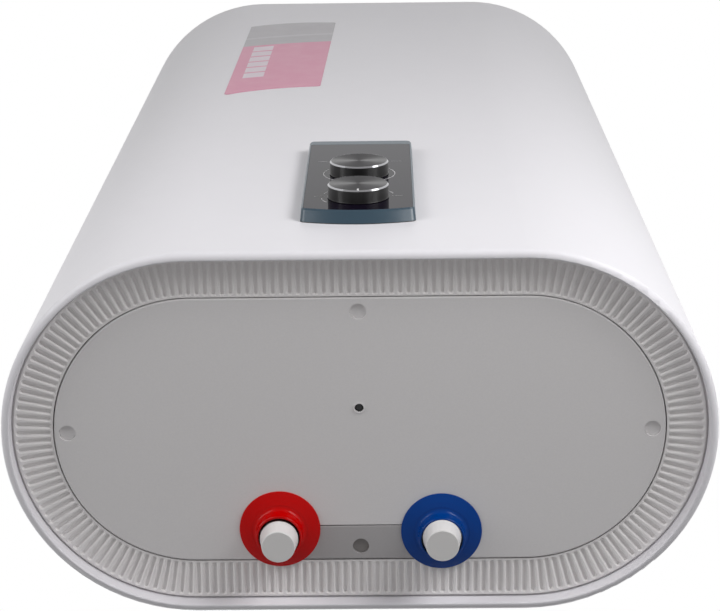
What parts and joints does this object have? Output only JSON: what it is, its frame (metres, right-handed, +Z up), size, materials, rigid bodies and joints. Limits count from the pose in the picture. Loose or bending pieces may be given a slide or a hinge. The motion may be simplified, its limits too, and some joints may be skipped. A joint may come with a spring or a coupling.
{
  "type": "storage water heater",
  "caption": "Flat wall-hung electric storage water heater with twin inner tanks, front rotary controls and capped hot and cold pipe connections underneath.",
  "frame": {"origin": "on the wall plane, midway between the four fixing holes of the two wall brackets", "axes": "+Z up as the heater hangs, +Y into the wall, +X to the right as seen from the room; the front with the controls faces -Y and the water pipes leave downwards along -Z"},
  "size_m": [0.436, 0.2598, 0.9018],
  "materials": {
    "white_painted_steel": "smooth white powder coat",
    "grey_plastic": "fine-grained warm light grey plastic",
    "cover_plastic": "fine-grained warm grey plastic",
    "strip_plastic": "fine-grained darker grey plastic",
    "red_plastic": "glossy red plastic",
    "blue_plastic": "glossy blue plastic",
    "white_plastic": "semi-gloss white plastic",
    "zinc_steel": "bright zinc plated",
    "black_steel": "dark grey painted steel",
    "stainless": "rolled stainless sheet",
    "copper": "nickel plated copper",
    "magnesium": "dull cast magnesium",
    "rubber": "black rubber",
    "foam": "rigid yellow foam",
    "bezel_plastic": "slate blue satin plastic",
    "smoked_panel": "dark grey gloss",
    "black_gloss": "black high gloss",
    "chrome": "polished chrome",
    "spun_metal": "dark spun metal",
    "beige_plastic": "moulded insulating plastic",
    "label_film": "satin film, grey over rose"
  },
  "bodies": {
    "heater": {"outer_jacket": "white_painted_steel", "top_cover": "grey_plastic", "bottom_ring": "grey_plastic", "service_cover": "cover_plastic", "pipe_strip": "strip_plastic", "cover_screws": "zinc_steel", "cover_screw_plugs": "cover_plastic", "hot_rosette": "red_plastic", "cold_rosette": "blue_plastic", "hot_pipe": "zinc_steel", "cold_pipe": "zinc_steel", "hot_dip_tube": "stainless", "cold_diffuser": "white_plastic", "left_tank": "stainless", "right_tank": "stainless", "upper_link_pipe": "stainless", "lower_link_pipe": "stainless", "left_flange": "zinc_steel", "right_flange": "zinc_steel", "left_flange_gasket": "rubber", "right_flange_gasket": "rubber", "flange_studs": "zinc_steel", "flange_nuts": "zinc_steel", "left_heating_element": "copper", "right_heating_element": "copper", "left_anode": "magnesium", "right_anode": "magnesium", "thermostat_pocket": "stainless", "cutout_pocket": "stainless", "capillary_probe": "copper", "cutout_capillary": "copper", "foam_insulation": "foam", "control_gasket": "rubber", "control_housing": "bezel_plastic", "control_glass": "smoked_panel", "switch_bracket": "zinc_steel", "thermostat": "beige_plastic", "power_switch": "beige_plastic", "thermal_cutout": "beige_plastic", "reset_spring": "zinc_steel", "bridge_plate": "zinc_steel", "terminal_block": "beige_plastic", "terminal_screws": "zinc_steel", "earth_stud": "zinc_steel", "upper_wall_bracket": "black_steel", "lower_wall_bracket": "black_steel", "bracket_bolts": "zinc_steel", "cable_grommet": "rubber", "label_sheet": "label_film"},
    "temperature_dial": {"temperature_knob": "black_gloss", "temperature_knob_trim": "chrome", "temperature_knob_face": "spun_metal", "temperature_spindle": "zinc_steel"},
    "power_dial": {"power_knob": "black_gloss", "power_knob_trim": "chrome", "power_knob_face": "spun_metal", "power_spindle": "zinc_steel"},
    "hot_cap": {"hot_pipe_cap": "white_plastic"},
    "cold_cap": {"cold_pipe_cap": "white_plastic"},
    "reset_plunger": {"reset_button": "white_plastic"}
  },
  "joints": [
    {"name": "temperature_turn", "type": "hinge", "parent": "heater", "child": "temperature_dial", "pos_m": [0, -0.2525, -0.3442], "axis": [0, 1, 0], "range_deg": [0, 270]},
    {"name": "power_turn", "type": "hinge", "parent": "heater", "child": "power_dial", "pos_m": [0, -0.2525, -0.2837], "axis": [0, 1, 0], "range_deg": [0, 135]},
    {"name": "hot_cap_pull", "type": "slide", "parent": "heater", "child": "hot_cap", "axis": [0, 0, -1], "range_m": [0, 0.03]},
    {"name": "cold_cap_pull", "type": "slide", "parent": "heater", "child": "cold_cap", "axis": [0, 0, -1], "range_m": [0, 0.03]},
    {"name": "reset_push", "type": "slide", "parent": "heater", "child": "reset_plunger", "axis": [0, 0, 1], "range_m": [0, 0.0015], "stiffness_N_per_m": 400, "springref_m": -0.001, "deforming": ["reset_spring"]}
  ]
}
